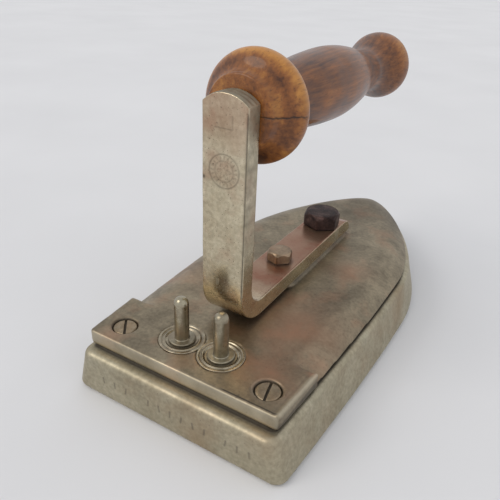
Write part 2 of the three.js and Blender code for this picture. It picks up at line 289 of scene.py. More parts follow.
def faceOut(piece):
    # turns the faces outwards by the sign of the volume they enclose
    import bmesh
    work = bmesh.new()
    work.from_mesh(piece.data)
    bmesh.ops.recalc_face_normals(work, faces=work.faces)
    work.to_mesh(piece.data)
    work.free()


def boxOf(name, low, high):
    outline = [(low[0], low[1]), (high[0], low[1]), (high[0], high[1]), (low[0], high[1])]
    return slabOf(name, outline, low[2], high[2])


def peg(name, x, y, radius, low, high, steps=96):
    return turn(name, [(0, low), (radius, low), (radius, high), (0, high)], x, y, steps)


# camera

cameraSetup = {
    "place": (101.19, -119.76, 167.28),   # mm from the heel line
    "azimuth": 30.01,                      # degrees round from straight behind the heel
    "elevation": 28.66,
    "roll": 2.59,
    "lens": 39.05,
}


def makeCamera(look):
    camera = bpy.data.objects.new("camera", bpy.data.cameras.new("camera"))
    camera.data.lens = look["lens"]
    camera.data.sensor_width = 36
    camera.data.clip_start = 0.01
    turned = Matrix.Rotation(math.radians(look["azimuth"]), 4, "Z")
    tilted = Matrix.Rotation(math.radians(90 - look["elevation"]), 4, "X")
    rolled = Matrix.Rotation(math.radians(look["roll"]), 4, "Z")
    camera.matrix_world = Matrix.Translation(toModel(look["place"])) @ turned @ tilted @ rolled
    bpy.context.scene.collection.objects.link(camera)
    bpy.context.scene.camera = camera


makeCamera(cameraSetup)
print("camera placed")


# materials

def put(tree, kind, inputs=None, take=0, **settings):
    # adds one node and gives back one of its outputs, or the node itself where take is None;
    # an input is a value or another node's output
    node = tree.nodes.new("ShaderNode" + kind)
    for name, value in settings.items():
        if name == "stops":
            ramp = node.color_ramp.elements
            while len(ramp) < len(value):
                ramp.new(0.5)
            for stop, (place, colour) in zip(ramp, value):
                stop.position = place
                stop.color = linear(colour) if isinstance(colour, str) else [colour] * 3 + [1]
        else:
            setattr(node, name, value)
    for name, value in (inputs or {}).items():
        if isinstance(value, bpy.types.NodeSocket):
            tree.links.new(value, node.inputs[name])
        else:
            node.inputs[name].default_value = value
    return node if take is None else node.outputs[take]


def startMaterial(name):
    material = bpy.data.materials.new(name)
    material.use_nodes = True
    tree = material.node_tree
    tree.nodes.clear()
    shader = put(tree, "BsdfPrincipled", take=None)
    put(tree, "OutputMaterial", {"Surface": shader.outputs[0]}, take=None)
    place = put(tree, "TexCoord", take="Object")
    return material, tree, shader, place


def speckled(tree, colour, grain, low, high):
    # darkens and lightens a colour a little with its fine grain
    speck = put(tree, "ValToRGB", {0: grain}, stops=[(0.3, low), (0.7, high)])
    return put(tree, "Mix", {0: 1.0, 6: colour, 7: speck}, data_type="RGBA", blend_type="MULTIPLY",
               take=2)


def connect(tree, shader, sockets):
    for name, socket in sockets.items():
        tree.links.new(socket, shader.inputs[name])


# nickel plate on iron, polished once and now clouded: a warm grey sheen with browner
# tarnish, fine black pits, hair scratches and copper colour where the plate is thin
nickelLooks = {
    "sole": {"bright": "beb69f", "dull": "a69c85", "copper": "a88f72", "cloud": 26, "patch": 30,
             "gloss": (0.42, 0.56), "pits": 0.35, "pitSize": 2.4, "scratch": 0.3},
    "cover": {"bright": "a3967f", "dull": "7d7362", "copper": "b68d72", "cloud": 20, "patch": 16,
              "gloss": (0.38, 0.52), "pits": 0.55, "pitSize": 1.9, "scratch": 0.35},
    "strap": {"bright": "dacfb4", "dull": "bdb095", "copper": "a3735c", "cloud": 12, "patch": 14,
              "gloss": (0.16, 0.3), "pits": 1.15, "pitSize": 1.5, "scratch": 0.3},
    "pin": {"bright": "b5ad97", "dull": "958b78", "copper": "a58f78", "cloud": 7, "patch": 9,
            "gloss": (0.2, 0.36), "pits": 0.4, "pitSize": 1.4, "scratch": 0.2},
    "washer": {"bright": "b8ae98", "dull": "938672", "copper": "b2967c", "cloud": 4, "patch": 7,
               "gloss": (0.2, 0.38), "pits": 0.4, "pitSize": 1.3, "scratch": 0.2},
    "screw": {"bright": "ab9b84", "dull": "8f8069", "copper": "a88a6c", "cloud": 4, "patch": 6,
              "gloss": (0.36, 0.5), "pits": 0.4, "pitSize": 1.2, "scratch": 0.3},
    "bolt": {"bright": "a8927a", "dull": "83705d", "copper": "a37e64", "cloud": 6, "patch": 7,
             "gloss": (0.3, 0.45), "pits": 0.5, "pitSize": 1.3, "scratch": 0.25},
}


def wornNickel(name, look, scribed=None):
    material, tree, shader, place = startMaterial(name)
    clouds = put(tree, "TexNoise", {"Vector": place, "Scale": perMm(look["cloud"]), "Detail": 8.0,
                                    "Roughness": 0.7, "Distortion": 0.5})
    patches = put(tree, "TexNoise", {"Vector": place, "Scale": perMm(look["patch"]), "Detail": 4.0,
                                     "Roughness": 0.55})
    fine = put(tree, "TexNoise", {"Vector": place, "Scale": perMm(1.6), "Detail": 3.0,
                                  "Roughness": 0.6})
    # hair scratches, 0.1 mm on the real plate, drawn 0.3 mm wide so that they show
    strokes = put(tree, "Mapping", {"Vector": place, "Rotation": (0.5, 0.2, 0.9),
                                    "Scale": (3000.0, 60.0, 1500.0)})
    hair = put(tree, "TexNoise", {"Vector": strokes, "Scale": 1.0, "Detail": 2.0})
    hairLine = put(tree, "ValToRGB", {0: hair}, stops=[(0.62, 0.0), (0.72, 1.0)])
    spots = put(tree, "TexVoronoi", {"Vector": place, "Scale": perMm(look["pitSize"]),
                                     "Randomness": 1.0}, take=None, feature="F1")
    spotSize = put(tree, "Math", {0: spots.outputs["Color"], 1: 0.24 * look["pits"]},
                   operation="MULTIPLY")
    spotEdge = put(tree, "Math", {0: spotSize, 1: spots.outputs["Distance"]},
                   operation="SUBTRACT")
    pit = put(tree, "MapRange", {0: spotEdge, 1: -0.06, 2: 0.1, 3: 0.0, 4: 1.0})
    pitShown = put(tree, "Math", {0: pit, 1: put(tree, "ValToRGB", {0: patches}, stops=[
        (0.38, 0.2), (0.62, 1.0)])}, operation="MULTIPLY")
    # dirt and painted shade that each piece paints for itself: dark where it is dirty and where shade
    # falls in recesses, gaps and under parts
    marksAndShade = put(tree, "Attribute", attribute_name="grime", take="Fac")
    if scribed:
        # one scratched line along Y = at, running from and to along X
        axes = put(tree, "SeparateXYZ", {0: place}, take=None).outputs
        at = toModel((0, scribed["at"], 0))[1]
        away = put(tree, "Math", {0: put(tree, "Math", {0: axes[1], 1: at},
                                         operation="SUBTRACT")},
                   operation="ABSOLUTE")
        line = put(tree, "MapRange", {0: away, 1: scribed["width"] * 0.0005,
                                      2: scribed["width"] * 0.001, 3: 1.0, 4: 0.0})
        middle = (scribed["from"] + scribed["to"]) * 0.0005
        reach = abs(scribed["to"] - scribed["from"]) * 0.0005
        along = put(tree, "Math", {0: put(tree, "Math", {0: axes[0], 1: middle},
                                          operation="SUBTRACT")},
                    operation="ABSOLUTE")
        ended = put(tree, "MapRange", {0: along, 1: reach - 0.002, 2: reach, 3: 1.0,
                                       4: 0.0})
        top = put(tree, "MapRange", {0: axes[2], 1: 0.0272, 2: 0.0279, 3: 0.0, 4: 1.0})
        both = put(tree, "Math", {0: line, 1: ended}, operation="MULTIPLY")
        both = put(tree, "Math", {0: both, 1: top}, operation="MULTIPLY")
        marksAndShade = put(tree, "Math", {0: marksAndShade, 1: both}, operation="MAXIMUM")
    thin = put(tree, "Attribute", attribute_name="copper", take="Fac")
    dulled = put(tree, "ValToRGB", {0: clouds}, stops=[(0.36, 0.0), (0.66, 1.0)])
    colour = put(tree, "Mix", {0: dulled, 6: linear(look["bright"]), 7: linear(look["dull"])},
                 data_type="RGBA", take=2)
    colour = speckled(tree, colour, fine, 0.8, 1.1)
    warmth = put(tree, "ValToRGB", {0: patches}, stops=[(0.5, 0.0), (0.72, 0.45)])
    warmth = put(tree, "Math", {0: warmth, 1: thin}, operation="ADD", use_clamp=True)
    colour = put(tree, "Mix", {0: warmth, 6: colour, 7: linear(look["copper"])},
                 data_type="RGBA", take=2)
    # painted light: faces and rims that a piece paints here are mixed towards pale, as a painted
    # highlight
    rubbed = put(tree, "Attribute", attribute_name="rubbed", take="Fac")
    colour = put(tree, "Mix", {0: rubbed, 6: colour, 7: linear("cfc6b0")}, data_type="RGBA", take=2)
    # pits, marks and painted shade, mixed to dark brown
    dirtAndShade = put(tree, "Math", {0: marksAndShade, 1: pitShown}, operation="MAXIMUM", use_clamp=True)
    dirtAndShade = put(tree, "Math", {0: dirtAndShade, 1: 0.85}, operation="MULTIPLY")
    colour = put(tree, "Mix", {0: dirtAndShade, 6: colour, 7: linear("2c241c")},
                 data_type="RGBA", take=2)
    low, high = look["gloss"]
    rough = put(tree, "MapRange", {0: clouds, 1: 0.3, 2: 0.7, 3: low, 4: high})
    hairRough = put(tree, "Math", {0: hairLine, 1: 0.12 * look["scratch"]},
                    operation="MULTIPLY")
    rough = put(tree, "Math", {0: rough, 1: hairRough}, operation="ADD")
    rough = put(tree, "Mix", {0: dirtAndShade, 2: rough, 3: 0.7}, data_type="FLOAT")
    metal = put(tree, "MapRange", {0: dirtAndShade, 1: 0.0, 2: 0.85, 3: 1.0, 4: 0.25})
    height = put(tree, "Math", {0: fine, 1: 0.35}, operation="MULTIPLY")
    height = put(tree, "Math", {0: height, 1: put(tree, "Math", {
        0: hairLine, 1: look["scratch"] * 0.3}, operation="MULTIPLY")},
        operation="SUBTRACT")
    height = put(tree, "Math", {0: height, 1: pitShown}, operation="SUBTRACT")
    bump = put(tree, "Bump", {"Height": height, "Strength": 0.35, "Distance": 0.00006})
    connect(tree, shader, {"Base Color": colour, "Roughness": rough, "Metallic": metal, "Normal": bump})
    return material


# blackened steel gone brown with rust: dark, half matt, with redder blotches
blackLook = {"black": "281f1e", "rust": "44302b", "pale": "6b514b", "blotch": 5.0, "grain": 0.7}


def rustyBlackenedSteel(name, look):
    material, tree, shader, place = startMaterial(name)
    blotches = put(tree, "TexNoise", {"Vector": place, "Scale": perMm(look["blotch"]),
                                      "Detail": 6.0, "Roughness": 0.65})
    grain = put(tree, "TexNoise", {"Vector": place, "Scale": perMm(look["grain"]),
                                   "Detail": 3.0})
    colour = put(tree, "ValToRGB", {0: blotches}, stops=[
        (0.32, look["black"]), (0.55, look["rust"]), (0.74, look["pale"])])
    colour = speckled(tree, colour, grain, 0.75, 1.1)
    # dirt and painted shade that the piece paints for itself, mixed to near black
    marksAndShade = put(tree, "Attribute", attribute_name="grime", take="Fac")
    colour = put(tree, "Mix", {0: marksAndShade, 6: colour, 7: linear("1c1411")},
                 data_type="RGBA", take=2)
    rough = put(tree, "MapRange", {0: grain, 1: 0.3, 2: 0.7, 3: 0.42, 4: 0.62})
    metal = put(tree, "MapRange", {0: blotches, 1: 0.35, 2: 0.7, 3: 0.75, 4: 0.35})
    height = put(tree, "Math", {0: grain, 1: blotches}, operation="ADD")
    bump = put(tree, "Bump", {"Height": height, "Strength": 0.5, "Distance": 0.0002})
    connect(tree, shader, {"Base Color": colour, "Roughness": rough, "Metallic": metal, "Normal": bump})
    return material


# turned beech, stained and varnished, worn by the hand: long grain with short dark
# flecks, red-brown in the hollows and golden where the varnish is rubbed, with the
# upper side painted lighter and the underside darker as painted light and shade
woodLook = {"dark": "43210d", "middle": "865022", "gold": "bb803a", "fleck": "3a1e10",
            "grainWidth": 1.6, "grainLength": 34.0, "fleckWidth": 0.7, "fleckLength": 4.5,
            "blotch": 16.0}


def varnishedTurnedBeech(name, look):
    material, tree, shader, place = startMaterial(name)
    along = put(tree, "Mapping", {"Vector": place, "Scale": (
        perMm(look["grainWidth"]), perMm(look["grainLength"]), perMm(look["grainWidth"]))})
    grain = put(tree, "TexNoise", {"Vector": along, "Scale": 1.0, "Detail": 5.0,
                                   "Roughness": 0.6, "Distortion": 0.3})
    rings = put(tree, "Mapping", {"Vector": place, "Rotation": (0.06, 0.3, 0.04), "Scale": (
        perMm(3.4), perMm(160), perMm(11))})
    bands = put(tree, "TexNoise", {"Vector": rings, "Scale": 1.0, "Detail": 2.0,
                                   "Distortion": 0.6})
    flecks = put(tree, "Mapping", {"Vector": place, "Scale": (
        perMm(look["fleckWidth"]), perMm(look["fleckLength"]), perMm(look["fleckWidth"]))})
    fleck = put(tree, "TexNoise", {"Vector": flecks, "Scale": 1.0, "Detail": 1.0})
    fleck = put(tree, "ValToRGB", {0: fleck}, stops=[(0.6, 0.0), (0.72, 1.0)])
    blotches = put(tree, "TexNoise", {"Vector": place, "Scale": perMm(look["blotch"]),
                                      "Detail": 3.0, "Roughness": 0.6})
    worn = put(tree, "Attribute", attribute_name="worn", take="Fac")
    crack = put(tree, "Attribute", attribute_name="crack", take="Fac")
    tone = put(tree, "Math", {0: grain, 1: 0.45}, operation="MULTIPLY")
    tone = put(tree, "Math", {0: bands, 1: 0.3, 2: tone}, operation="MULTIPLY_ADD")
    tone = put(tree, "Math", {0: blotches, 1: 0.35, 2: tone}, operation="MULTIPLY_ADD")
    tone = put(tree, "Math", {0: worn, 1: 0.42, 2: tone}, operation="MULTIPLY_ADD")
    colour = put(tree, "ValToRGB", {0: tone}, stops=[
        (0.54, look["dark"]), (0.75, look["middle"]), (1.0, look["gold"])])
    dark = put(tree, "Math", {0: fleck, 1: 0.4}, operation="MULTIPLY")
    colour = put(tree, "Mix", {0: dark, 6: colour, 7: linear(look["fleck"])},
                 data_type="RGBA", take=2)
    colour = put(tree, "Mix", {0: crack, 6: colour, 7: linear("120905")},
                 data_type="RGBA", take=2)
    rough = put(tree, "MapRange", {0: blotches, 1: 0.3, 2: 0.7, 3: 0.36, 4: 0.52})
    height = put(tree, "Math", {0: grain, 1: fleck}, operation="SUBTRACT")
    bump = put(tree, "Bump", {"Height": height, "Strength": 0.25, "Distance": 0.0001})
    connect(tree, shader, {"Base Color": colour, "Roughness": rough, "Normal": bump})
    shader.inputs["IOR"].default_value = 1.5
    shader.inputs["Specular IOR Level"].default_value = 0.3
    shader.inputs["Coat Weight"].default_value = 0.4
    shader.inputs["Coat Roughness"].default_value = 0.1
    return material


# plainer stuff inside the iron and at the rod's end: two colours clouded together,
# with a grain of its own size
plainLooks = {
    "mica": {"light": "c2b692", "dark": "8d7f60", "cloud": 14, "grain": 1.2, "rough": (0.25, 0.45),
             "metal": 0.0, "bump": 0.00004},        # split mica sheet: smoky and glossy, with flakes
    "board": {"light": "cbc6b8", "dark": "a8a294", "cloud": 9, "grain": 0.8, "rough": (0.85, 0.95),
              "metal": 0.0, "bump": 0.00012},       # pressed fibre board: chalky and fuzzy
    "iron": {"light": "6a655e", "dark": "46413b", "cloud": 8, "grain": 0.9, "rough": (0.55, 0.75),
             "metal": 0.85, "bump": 0.0001},        # grey cast iron, sand cast: dark and gritty
    "ribbon": {"light": "928d88", "dark": "6f6a66", "cloud": 6, "grain": 0.7, "rough": (0.4, 0.55),
               "metal": 1.0, "bump": 0.00003},      # nickel chrome ribbon, rolled and heated: grey bloom
    "brass": {"light": "b39450", "dark": "7e6436", "cloud": 5, "grain": 0.6, "rough": (0.34, 0.5),
              "metal": 1.0, "bump": 0.00003},       # punched sheet brass: brown tarnish on yellow
    "steatite": {"light": "b5ae9b", "dark": "8f8672", "cloud": 5, "grain": 0.6,
                 "rough": (0.35, 0.55), "metal": 0.0, "bump": 0.00004},  # fired soapstone: waxy buff
    "steel": {"light": "8d8983", "dark": "5d544b", "cloud": 5, "grain": 0.7, "rough": (0.35, 0.55),
              "metal": 1.0, "bump": 0.00005},       # bright turned steel with a brown bloom
}


def plainStuff(name, look):
    material, tree, shader, place = startMaterial(name)
    clouds = put(tree, "TexNoise", {"Vector": place, "Scale": perMm(look["cloud"]), "Detail": 6.0,
                                    "Roughness": 0.6, "Distortion": 0.5})
    grain = put(tree, "TexNoise", {"Vector": place, "Scale": perMm(look["grain"]), "Detail": 4.0,
                                   "Roughness": 0.65})
    colour = put(tree, "ValToRGB", {0: clouds}, stops=[
        (0.3, look["dark"]), (0.7, look["light"])])
    colour = speckled(tree, colour, grain, 0.85, 1.1)
    rough = put(tree, "MapRange", {0: grain, 1: 0.3, 2: 0.7, 3: look["rough"][0],
                                   4: look["rough"][1]})
    bump = put(tree, "Bump", {"Height": grain, "Strength": 0.5, "Distance": look["bump"]})
    connect(tree, shader, {"Base Color": colour, "Roughness": rough, "Normal": bump})
    shader.inputs["Metallic"].default_value = look["metal"]
    return material


scribedLine = {"at": 4.5, "from": 19.0, "to": 44.0, "width": 0.42}  # along the land's heel edge
nickel = {name: wornNickel("wornNickel_" + name, look, scribedLine if name == "cover" else None)
          for name, look in nickelLooks.items()}
plain = {name: plainStuff(name, look) for name, look in plainLooks.items()}
blackSteel = rustyBlackenedSteel("rustyBlackenedSteel", blackLook)
beech = varnishedTurnedBeech("varnishedTurnedBeech", woodLook)
print("materials mixed")


# where the fixings stand, in mm from the middle of the heel line, the same for every piece
fixings = {
    "pinX": 9.5,
    "pinY": 19.9,
    "screwX": 34.5,
    "screwY": 13.5,
    "smallBoltY": 84.0,
    "clampBoltY": 132.0,
}

# the pointed plan shared by sole and cover

pointedPlan = {
    "heelHalf": 43.9,       # half width at the heel
    "widestHalf": 49.1,
    "widestAt": 122.0,
    "length": 218.3,
    "noseReach": 43.4,      # how far the sides run on before they turn in
    "noseBlunt": 12.7,      # half width of the rounded toe
}


def cubic(a, b, c, d, t):
    s = 1 - t
    return s ** 3 * a + 3 * s * s * t * b + 3 * s * t * t * c + t ** 3 * d


def planRing(z, side, heelAt, corner, toe=None, blunt=None, steps=(8, 8, 40, 50)):
    # closed outline at height z, moved out from the seam by side, starting mid heel
    p = pointedPlan
    toe = side if toe is None else toe
    heelHalf, widest, length = p["heelHalf"] + side, p["widestHalf"] + side, p["length"] + toe
    tip = p["noseBlunt"] + 1.06 * side if blunt is None else blunt
    reach = p["noseReach"] * (length - p["widestAt"]) / (p["length"] - p["widestAt"])
    heelSteps, cornerSteps, flankSteps, noseSteps = steps

    def flank(t):
        return np.stack([cubic(heelHalf, heelHalf + (widest - heelHalf) * 0.6, widest, widest, t),
                         cubic(0, p["widestAt"] * 0.35, p["widestAt"] * 0.65, p["widestAt"], t)], 1)

    fine = np.linspace(0, 1, 4001)
    start = np.interp(heelAt + corner, flank(fine)[:, 1], fine)
    cornerX = flank(np.array([start]))[0, 0] - corner
    heel = np.stack([np.linspace(0, cornerX, heelSteps, endpoint=False),
                     np.full(heelSteps, float(heelAt))], 1)
    a = np.linspace(-math.pi / 2, 0, cornerSteps + 1)
    bend = np.stack([cornerX + corner * np.cos(a), heelAt + corner * (1 + np.sin(a))], 1)
    t = np.linspace(0, 1, noseSteps + 1)[1:]
    nose = np.stack([cubic(widest, widest, tip, 0, t),
                     cubic(p["widestAt"], p["widestAt"] + reach, length, length, t)], 1)
    half = np.concatenate([heel, bend, flank(np.linspace(start, 1, flankSteps + 1)[1:]), nose])
    ring = np.concatenate([half, half[1:-1][::-1] * [-1, 1]])
    return np.column_stack([ring, np.full(len(ring), float(z))])


def planSlab(name, low, high, **plan):
    return stack(name, [planRing(low, **plan), planRing(high, **plan)])


def boltBores(low, high):
    return [peg("bore", 0, fixings["clampBoltY"], 5.4, low, high),
            peg("bore", 0, fixings["smallBoltY"], 3.4, low, high)]


# sole: nickel plated iron casting

soleCasting = {
    "top": 21.2,
    "foot": (6.35, -heelBulge, 5.5, 2.8),  # side, heelAt, corner, z where the wall starts
    "footRound": 2.6,
    "shoulder": (2.45, -1.75, 5.0, 17.8),
    "shoulderPull": (2.08, -1.58, 5.0, 20.25),
    "lip": (0.2, 0.9, 3.4, 20.55),
    # the ledge: bright as far as the cover's edge, painted dark as shade under it, then the low step
    # inside
    "ledge": ((-0.2, 2.6, 2.6, 20.6), (-0.7, 3.4, 2.4, 20.62), (-2.6, 3.9, 2.0, 20.64),
              (-3.2, 4.6, 2.0, 21.2)),
    "wallSteps": 45,
    "ringSteps": (125, 12, 70, 80),
    "pocketFloor": 11.0,
    "ripple": 0.07,                       # unevenness of the ground faces, mm
    # plain punch strokes across the heel: first stroke, how many, spacing
    "punchRow": ((-33.8, 3, 5.95), (-10.2, 6, 5.4), (26.2, 3, 5.1)),
    "punchHeight": 10.1,
    "punchLength": 2.6,
    "punchDepth": 0.18,
}


def makeSole(size):
    foot, shoulder = np.array(size["foot"]), np.array(size["shoulder"])
    pull, lip = np.array(size["shoulderPull"]), np.array(size["lip"])
    levels = []
    for a in np.linspace(0, math.pi / 2, 9)[:-1]:
        inset = size["footRound"] * (1 - math.sin(a))
        levels.append((foot[0] - inset, foot[1] + inset, foot[2] - inset, foot[3] * (1 - math.cos(a))))
    levels += [foot + (shoulder - foot) * t for t in np.linspace(0, 1, size["wallSteps"])]
    levels += [shoulder * (1 - t) ** 2 + pull * 2 * t * (1 - t) + lip * t * t
               for t in np.linspace(0, 1, 9)[1:]]
    levels += [np.array(level) for level in size["ledge"]]
    rings = [planRing(z, side, heelAt, corner, steps=size["ringSteps"])
             for side, heelAt, corner, z in levels]
    sole = stack("soleCasting", rings, 180)
    points, normals = readPoints(sole), readNormals(sole)
    free = ease(0.5, 3, points[:, 2]) * ease(lip[3], lip[3] - 0.6, points[:, 2])
    ripple = waviness(points, 19, 3) + 0.45 * waviness(points, 6, 4)
    points += normals * (ripple * free * size["ripple"])[:, None]
    onHeel = (normals[:, 1] < -0.8).astype(float)
    mark = np.zeros(len(points))
    for first, count, spacing in size["punchRow"]:
        for k in range(count):
            lean = math.radians(10 * math.sin(2.1 * k + first))
            u = points[:, 0] - (first + k * spacing)
            v = points[:, 2] - size["punchHeight"]
            across = u * math.cos(lean) - v * math.sin(lean)
            beyond = np.maximum(np.abs(u * math.sin(lean) + v * math.cos(lean))
                                - size["punchLength"] / 2, 0)
            mark = np.maximum(mark, ease(0.62, 0.2, np.hypot(across, beyond)) * onHeel)
    points[:, 1] += mark * size["punchDepth"]
    writePoints(sole, points)
    # darker along the lowest 1.2 mm of the wall
    lowEdgeDark = ease(1.2, 0, points[:, 2]) * 0.25
    # painted shade: the ledge under the cover's edge is painted dark, its outer ring only a little
    shadeUnderCover = np.zeros(len(levels))
    shadeUnderCover[-len(size["ledge"]):] = 1
    shadeUnderCover[-len(size["ledge"])] = 0.15
    ledge = np.repeat(shadeUnderCover, len(rings[0]))
    lowEdgeDark *= 0.6 + 0.4 * waviness(points, 3, 9)
    paint(sole, "grime", np.maximum.reduce([mark * 0.55, lowEdgeDark, ledge]))
    warm = 0.5 * ease(0.1, 0.8, waviness(points, 32, 6)) * ease(4, 16, points[:, 2])
    paint(sole, "copper", warm * 0.3)
    pocket = planSlab("pocket", size["pocketFloor"], 24, side=-9.5, toe=-26, blunt=5, heelAt=33.5,
                      corner=2)
    chamber = boxOf("chamber", (-24, 8, size["pocketFloor"]), (24, 36.5, 24))
    combine(sole, [pocket, chamber], "DIFFERENCE")
    boltY, screwX = fixings["clampBoltY"], fixings["screwX"]
    combine(sole, [peg("boss", 0, boltY, 9, size["pocketFloor"] - 1, 16.4)], "UNION")
    holes = [peg("hole", 0, boltY, 5.3, 5.5, 24)]
    holes += [peg("hole", x, fixings["screwY"], 2.8, 8, 24) for x in (-screwX, screwX)]
    combine(sole, holes, "DIFFERENCE")
    shade(sole, 38)
    return finish(sole, "sole_plate", nickel["sole"])


makeSole(soleCasting)
print("sole cast")


# cover: nickel plated iron, clamped on the sole

coverCasting = {
    "top": 28.5,
    "shoulder": 14.0,                     # width of the domed edge along the sides
    "toeShoulder": 20.0,
    "edge": ((-3.2, 21.5), (-2.7, 22.5), (-0.3, 22.7), (0.0, 23.0)),  # side, z below the dome
    "landFront": 31.5,                    # the flat land at the heel ends here
    "landEdge": ((-3.2, 21.5), (-2.7, 22.0), (0.1, 22.2), (0.4, 22.6), (0.4, 28.0), (0.25, 28.35),
                 (-0.2, 28.5)),
    "seatTop": 30.2,
    "seatHalf": 9.0,
    "seatEnd": 149.5,
    "skin": 0.7,                          # mesh size, mm
    "ripple": 0.09,
    "rimHeight": 0.6,                     # rolled rim along the land's right edge
    "rimWidth": 1.1,
}


def makeCover(size):
    domed = {"heelAt": 8, "corner": 1}
    domeFrom, top = size["edge"][-1][1], size["top"]
    rings = [planRing(z, side=side, **domed) for side, z in size["edge"]]
    for u in np.linspace(0, 1, 13)[1:]:
        rings.append(planRing(domeFrom + (top - domeFrom) * (1 - (1 - u) ** 2),
                              side=-size["shoulder"] * u, toe=-size["toeShoulder"] * u,
                              blunt=pointedPlan["noseBlunt"] - 4.5 * u, **domed))
    cover = stack("coverCasting", rings)
    land = stack("land", [planRing(z, side=side, heelAt=3.55 - side, corner=1.8)
                          for side, z in size["landEdge"]])
    combine(land, [boxOf("keep", (-60, 0, 20), (60, size["landFront"], 40))], "INTERSECT")
    seatHalf, seatFrom, seatEnd = size["seatHalf"], fixings["smallBoltY"], size["seatEnd"]
    seat = boxOf("seat", (-seatHalf, seatFrom, 27), (seatHalf, seatEnd, size["seatTop"]))
    roundEnd = peg("seatEnd", 0, seatFrom, seatHalf, 27, size["seatTop"])
    combine(cover, [land, seat, roundEnd], "UNION")
    hollow = planSlab("hollow", 20, 24.6, side=-8, toe=-24, blunt=5, heelAt=38, corner=2)
    cuts = [hollow, boxOf("chamber", (-22, 10, 20), (22, 40, 24))]
    for side in (-1, 1):
        pinX, screwX = side * fixings["pinX"], side * fixings["screwX"]
        cuts += [peg("recess", pinX, fixings["pinY"], 9.4, 26.6, 32),
                 peg("bore", pinX, fixings["pinY"], 4.5, 20, 32),
                 peg("recess", screwX, fixings["screwY"], 5.4, 25.9, 32),
                 peg("bore", screwX, fixings["screwY"], 2.9, 20, 32)]
    cuts += boltBores(20, 40)
    combine(cover, cuts, "DIFFERENCE")
    resurface(cover, size["skin"], 1)
    points, normals = readPoints(cover), readNormals(cover)
    x, y, z = points.T
    up = ease(0.3, 0.9, normals[:, 2])
    ripple = waviness(points, 24, 11) + 0.5 * waviness(points, 8, 12)
    points += normals * (ripple * ease(22.8, 24, z) * size["ripple"])[:, None]
    # rolled rim along the land's right edge, ending abruptly
    inward = 44.3 + 0.078 * y - x
    along = ease(3.4, 5, y) * ease(size["landFront"] + 0.4, size["landFront"] - 0.8, y)
    rim = ridge(inward - 0.9, size["rimWidth"]) * along * ease(26.9, 28, z)
    gutter = ridge(inward - 3, 0.6) * along * ease(27.6, 28.2, z)
    points[:, 2] += rim * size["rimHeight"] - gutter * 0.2
    writePoints(cover, points)
    # painted shade: a dark ring in the gap round each washer, a dark crescent on the far wall of each
    # screw recess, and darkening round the foot of the strap's seat
    fixingShade = np.zeros(len(points))
    for side in (-1, 1):
        pinRing = np.hypot(x - side * fixings["pinX"], y - fixings["pinY"])
        u, v = x - side * fixings["screwX"], y - fixings["screwY"]
        screwRing = np.hypot(u, v)
        # the side of each screw recess where its painted shadow falls
        farSide = ease(-0.2, 0.7, (v * 0.2 - u) / np.maximum(screwRing, 1))
        fixingShade = np.maximum(fixingShade, ease(10, 9.3, pinRing) * 0.2)
        fixingShade = np.maximum(fixingShade, ease(6, 5.3, screwRing) * (0.15 + 0.75 * farSide))
    aroundSeat = np.hypot(np.maximum(np.abs(x) - seatHalf, 0),
                          np.maximum(np.maximum(seatFrom - y, y - seatEnd), 0))
    fixingShade = np.maximum(fixingShade, ease(2.2, 0.2, aroundSeat) * 0.45 * (z < 29.9))
    pit = ease(1.0, 0.4, np.hypot(x - 27, y - 4.6)) * up
    # painted shade along the gap under the cover's lower edge
    seam = ease(22.5, 22.1, z) * ease(7, 3, y) + ease(23, 22.6, z) * ease(3, 7, y)
    # brown stain on the outer wall of the land, widening to the front
    stain = ease(0.5, 0.9, normals[:, 0]) * (x > 0) * ease(36, 31, y) * ease(
        24.4 + 0.08 * y, 23.2 + 0.08 * y, z) * 0.75
    # upward faces darker towards the toe
    toeDarkening = ease(140, 200, y) * up * (0.34 + 0.14 * waviness(points, 9, 24))
    paint(cover, "grime", np.maximum.reduce([fixingShade, gutter * 0.35, pit, seam, stain, toeDarkening]))
    # painted light: the land's heel face is painted paler, and the rolled rim gets a painted highlight
    heelFace = ease(0.5, 0.9, -normals[:, 1]) * ease(7, 4.5, y) * ease(22.4, 23.4, z)
    paint(cover, "rubbed", np.maximum(heelFace * (0.5 + 0.2 * waviness(points, 5, 25)), rim * 0.6))
    speckle = 0.5 + 0.5 * waviness(points, 5, 21)
    copper = ridge(np.hypot((x - 24) / 1.1, y - 53), 18) * 0.75
    copper = np.maximum(copper, ridge(np.hypot(x - 26, y - 111), 9) * 0.6)
    copper = np.maximum(copper, ridge(np.hypot((x - 30) / 1.5, y - 20), 11) * 0.45)
    copper = np.maximum(copper, ridge(np.hypot(x - 45, y - 30), 2.4))
    copper = np.maximum(copper, ridge(np.hypot(x + 30, y - 70), 16) * 0.3)
    paint(cover, "copper", copper * (0.55 + 0.6 * speckle) * up)
    return finish(cover, "cover_plate", nickel["cover"])


makeCover(coverCasting)
print("cover cast")


# inlet pins, washers, bushes

inletPin = {
    "profile": ((0, 17.5), (2.2, 17.5), (2.2, 28.3), (5.2, 28.3), (5.5, 28.6), (5.5, 28.95), (5.2, 29.2),
                (3.25, 29.2), (3.0, 29.5), (3.0, 45.6), (2.75, 47.0), (1.9, 48.1), (0.9, 48.52),
                (0, 48.6)),
    "washer": ((2.6, 27.6), (9.2, 27.6), (9.75, 28.4), (9.55, 28.62), (8.8, 28.6), (8.4, 28.25),
               (8.0, 28.25), (7.6, 28.5), (7.25, 28.58), (6.9, 28.35), (6.4, 28.02), (5.6, 27.97),
               (2.6, 27.95)),
    "bush": ((2.6, 24.3), (4.2, 24.3), (4.2, 26.9), (8.9, 26.9), (8.9, 27.3), (2.6, 27.3)),
}


